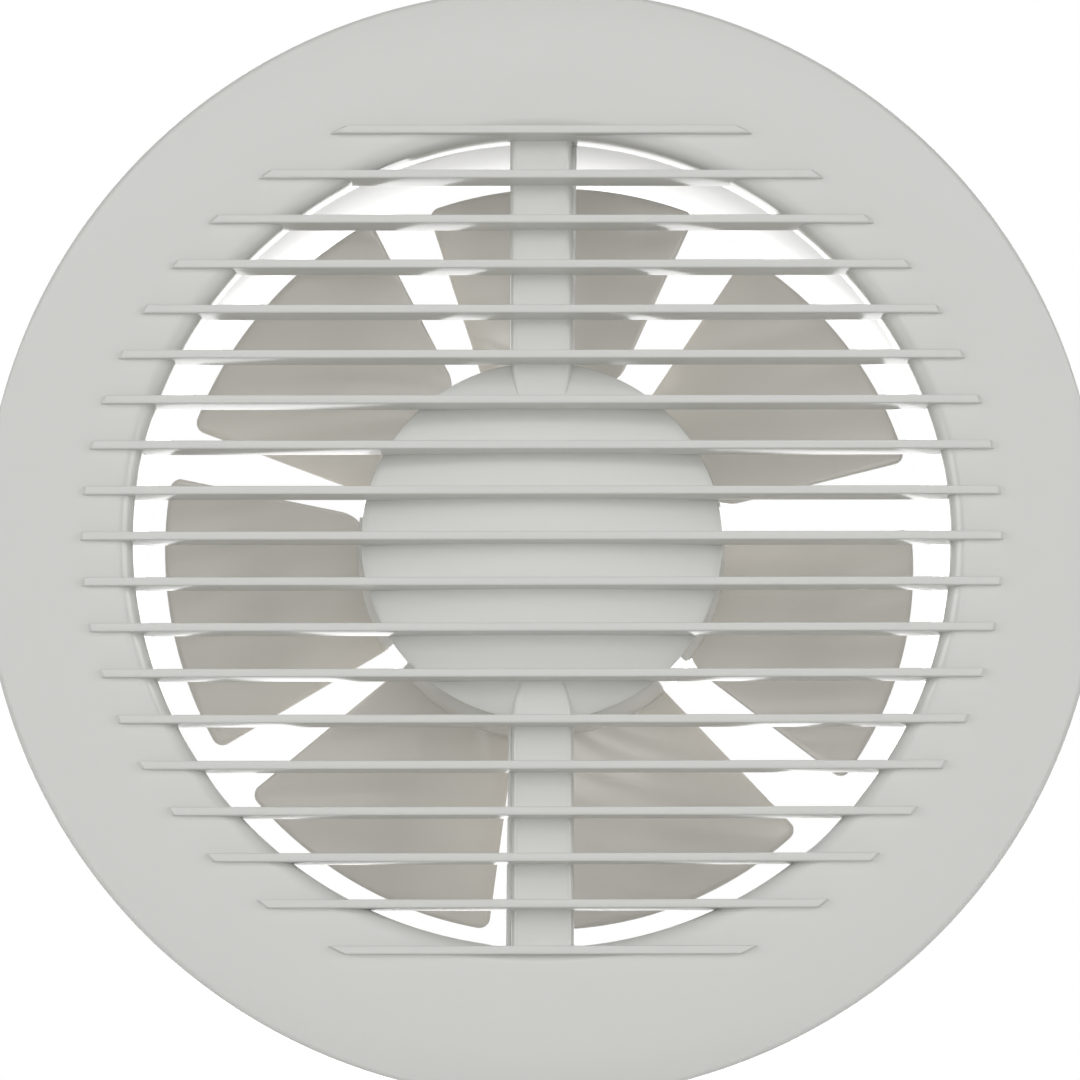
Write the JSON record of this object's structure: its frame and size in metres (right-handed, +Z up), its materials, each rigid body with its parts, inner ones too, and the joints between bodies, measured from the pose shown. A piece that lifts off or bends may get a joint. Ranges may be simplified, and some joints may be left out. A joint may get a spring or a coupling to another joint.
{
  "type": "bathroom exhaust fan",
  "caption": "Wall-mounted bathroom exhaust fan: round louvred cover that pulls off, flanged duct housing, motor on a two-arm bracket and an axial impeller.",
  "frame": {"origin": "on the fan's axis, in the plane of the wall that the flange lies against", "axes": "+X to the right seen from the room, +Y into the wall along the duct, +Z up"},
  "size_m": [0.1952, 0.0609, 0.1952],
  "materials": {
    "white_cover": "satin, off-white",
    "white_housing": "glossy, white",
    "white_bracket": "glossy, white",
    "impeller_plastic": "satin, light warm grey",
    "steel_screw": "zinc plated",
    "stator_steel": "varnished laminations",
    "rotor_steel": "bare laminations",
    "bobbin_nylon": "natural nylon",
    "coil_copper": "enamelled copper wire",
    "shield_zinc": "zinc casting",
    "bearing_bronze": "oil-filled sintered bronze",
    "end_ring_aluminium": "cast",
    "shaft_steel": "ground",
    "washer_nylon": "natural nylon",
    "terminal_nylon": "moulded",
    "terminal_brass": "plain",
    "clamp_plastic": "moulded",
    "grommet_rubber": "soft",
    "lead_brown": "wire sheath",
    "lead_blue": "wire sheath"
  },
  "bodies": {
    "base": {"housing": "white_housing", "motor_bracket": "white_bracket", "bracket_screw_1": "steel_screw", "bracket_screw_2": "steel_screw", "stator_core": "stator_steel", "coil_bobbin_1": "bobbin_nylon", "coil_bobbin_2": "bobbin_nylon", "coil_bobbin_3": "bobbin_nylon", "coil_bobbin_4": "bobbin_nylon", "stator_coil_1": "coil_copper", "stator_coil_2": "coil_copper", "stator_coil_3": "coil_copper", "stator_coil_4": "coil_copper", "front_end_shield": "shield_zinc", "shaft_bearing_1": "bearing_bronze", "shaft_bearing_2": "bearing_bronze", "bearing_retainer_1": "steel_screw", "bearing_retainer_2": "steel_screw", "motor_tie_screw_1": "steel_screw", "motor_tie_screw_2": "steel_screw", "terminal_block": "terminal_nylon", "terminal_screw_1": "terminal_brass", "terminal_screw_2": "terminal_brass", "terminal_screw_3": "terminal_brass", "terminal_screw_4": "terminal_brass", "fixing_screw_1": "steel_screw", "fixing_screw_2": "steel_screw", "fixing_screw_3": "steel_screw", "cable_clamp": "clamp_plastic", "cable_grommet": "grommet_rubber", "lead_live": "lead_brown", "lead_neutral": "lead_blue"},
    "cover": {"front_cover": "white_cover"},
    "rotor": {"rotor_shaft": "shaft_steel", "rotor_core": "rotor_steel", "rotor_end_ring_1": "end_ring_aluminium", "rotor_end_ring_2": "end_ring_aluminium", "thrust_washer_1": "washer_nylon", "thrust_washer_2": "washer_nylon", "impeller": "impeller_plastic", "impeller_clip": "shaft_steel"}
  },
  "joints": [
    {"name": "impeller_spin", "type": "hinge", "parent": "base", "child": "rotor", "pos_m": [0, 0.01, 0], "axis": [0, 1, 0], "continuous": true},
    {"name": "cover_pull", "type": "slide", "parent": "base", "child": "cover", "axis": [0, -1, 0], "range_m": [0, 0.04]}
  ]
}
